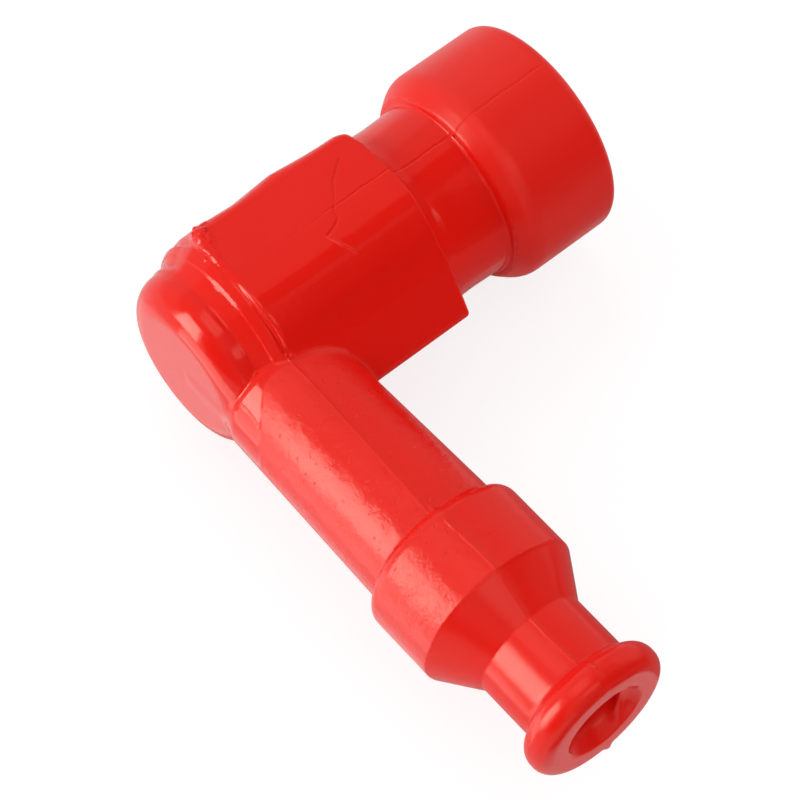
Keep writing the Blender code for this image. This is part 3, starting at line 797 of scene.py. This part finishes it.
def sheet(name, width, height, material):
    """A flat rectangle in the plane of its own X and Y."""
    mesh = bpy.data.meshes.new(name)
    corners = [(-width / 2, -height / 2, 0), (width / 2, -height / 2, 0), (width / 2, height / 2, 0),
               (-width / 2, height / 2, 0)]
    mesh.from_pydata(corners, [], [(0, 1, 2, 3)])
    mesh.materials.append(material)
    made = bpy.data.objects.new(name, mesh)
    bpy.context.scene.collection.objects.link(made)
    return made


def face_the_cap(made, azimuth, elevation, distance):
    """Stand a lamp or a card off from the elbow, turned towards it."""
    turned = math.radians(azimuth)
    raised = math.radians(elevation)
    level = math.cos(raised)
    aim = Vector((level * math.cos(turned), level * math.sin(turned), math.sin(raised)))
    side = Vector((0.0, 0.0, 1.0)).cross(aim).normalized()
    facing = Matrix((side, aim.cross(side), aim)).transposed()
    made.matrix_world = Matrix.Translation(ELBOW + aim * distance) @ facing.to_4x4()


def half_span(degrees):
    """Half the width that fills an angle at a distance of one."""
    return math.tan(math.radians(degrees) / 2)


def softbox(name, azimuth, elevation, width, height, light, mirrored=False):
    """A lamp by the angles that it fills, and by its light on a surface facing it, where 1 is plain white."""
    a = half_span(width)
    b = half_span(height)
    along = a / math.hypot(1, a) * math.atan(b / math.hypot(1, a))
    across = b / math.hypot(1, b) * math.atan(a / math.hypot(1, b))
    brightness = light / (2 / math.pi * (along + across))
    data = bpy.data.lights.new(name, "AREA")
    data.shape = "RECTANGLE"
    data.size = 2 * a * LAMP_RANGE
    data.size_y = 2 * b * LAMP_RANGE
    data.energy = brightness * math.pi * data.size * data.size_y
    made = bpy.data.objects.new(name, data)
    bpy.context.scene.collection.objects.link(made)
    face_the_cap(made, azimuth, elevation, LAMP_RANGE)
    made.visible_glossy = mirrored
    made.visible_camera = False


def only_mirrored(made):
    """Keep a card for the reflections alone."""
    made.visible_camera = False
    made.visible_diffuse = False
    made.visible_shadow = False
    made.visible_transmission = False


def glow(name, brightness):
    """A plain card's brightness, where 1 is white."""
    nodes = Finish(name)
    light = nodes.add("ShaderNodeEmission", Strength=brightness)
    nodes.put(nodes.tree.nodes["Material Output"].inputs["Surface"], light)
    return nodes.material


def card(name, azimuth, elevation, distance, width, height, brightness):
    """A card that faces the cap, by the angles that it fills."""
    wide = 2 * half_span(width) * distance
    tall = 2 * half_span(height) * distance
    made = sheet(name, wide, tall, glow(name, brightness))
    face_the_cap(made, azimuth, elevation, distance)
    only_mirrored(made)


def level_card(name, west, east, south, north, height, brightness, slant=0.0):
    """A level card, by its edges in metres from the elbow. A slant carries it north along its way west."""
    made = sheet(name, east - west, north - south, glow(name, brightness))
    for corner in made.data.vertices:
        corner.co.y += slant * ((east - west) / 2 - corner.co.x)
    made.location = ELBOW + Vector(((west + east) / 2, (south + north) / 2, height))
    only_mirrored(made)


table = sheet("table", 6.0, 6.0, table_finish())

softbox("left_softbox", 156, 18, 26, 42, 0.66, mirrored=True)
softbox("top_fill", 90, 84, 80, 80, 0.23)
softbox("near_fill", -106, 33, 60, 50, 0.38)
softbox("far_fill", 90, 38, 60, 50, 0.30)
softbox("plug_fill", -5, 28, 60, 44, 0.36)

card("far_side", 85, 12, 1.6, 100, 62, 0.60)
card("plug_side", 8, 12, 1.3, 66, 56, 0.45)
card("near_left", -150, 10, 1.5, 66, 100, 0.14)
card("near_high", -110, 66, 1.0, 70, 34, 0.20)
card("near_dark", -62, 30, 1.1, 100, 80, 0.02)
card("near_strip", -92, 47, 0.9, 26, 14, 1.2)
level_card("ceiling_far", -0.05, 2.0, 0.15, 3.0, 1.0, 0.38)
level_card("ceiling_left", -2.0, -0.05, -0.1, 3.0, 1.0, 0.32)
level_card("ceiling_near", -0.4, 2.0, -2.0, 0.15, 1.0, 0.02)
level_card("ceiling_strip", -0.22, 0.02, -0.1, 0.14, 0.4, 1.3)
on_table = 0.0004 - ELBOW.z
level_card("table_near", -0.02, 1.5, -1.5, -0.075, on_table, 0.02)
level_card("table_between", 0.014, 1.5, -0.075, -0.015, on_table, 0.20)
level_card("table_left", -0.40, -0.028, -0.05, 0.015, on_table, 2.8, slant=0.45)
level_card("table_foot", -0.028, -0.008, -0.04, 0.03, on_table, 1.05)

world = bpy.data.worlds.new("studio")
bpy.context.scene.world = world
world.use_nodes = True
sky = Nodes(world.node_tree)
seen_or_mirrored = sky.add("ShaderNodeLightPath") + sky.add("ShaderNodeLightPath", output=3)
through_glass = sky.add("ShaderNodeLightPath", output=6)
shown = sky.add("ShaderNodeMath", {"use_clamp": True}, _0=seen_or_mirrored, _1=through_glass)
background = world.node_tree.nodes["Background"]
sky.put(background.inputs["Strength"], shown)
sky.put(background.inputs["Color"], (1, 1, 1, 1))

bpy.context.scene.view_settings.view_transform = "Standard"
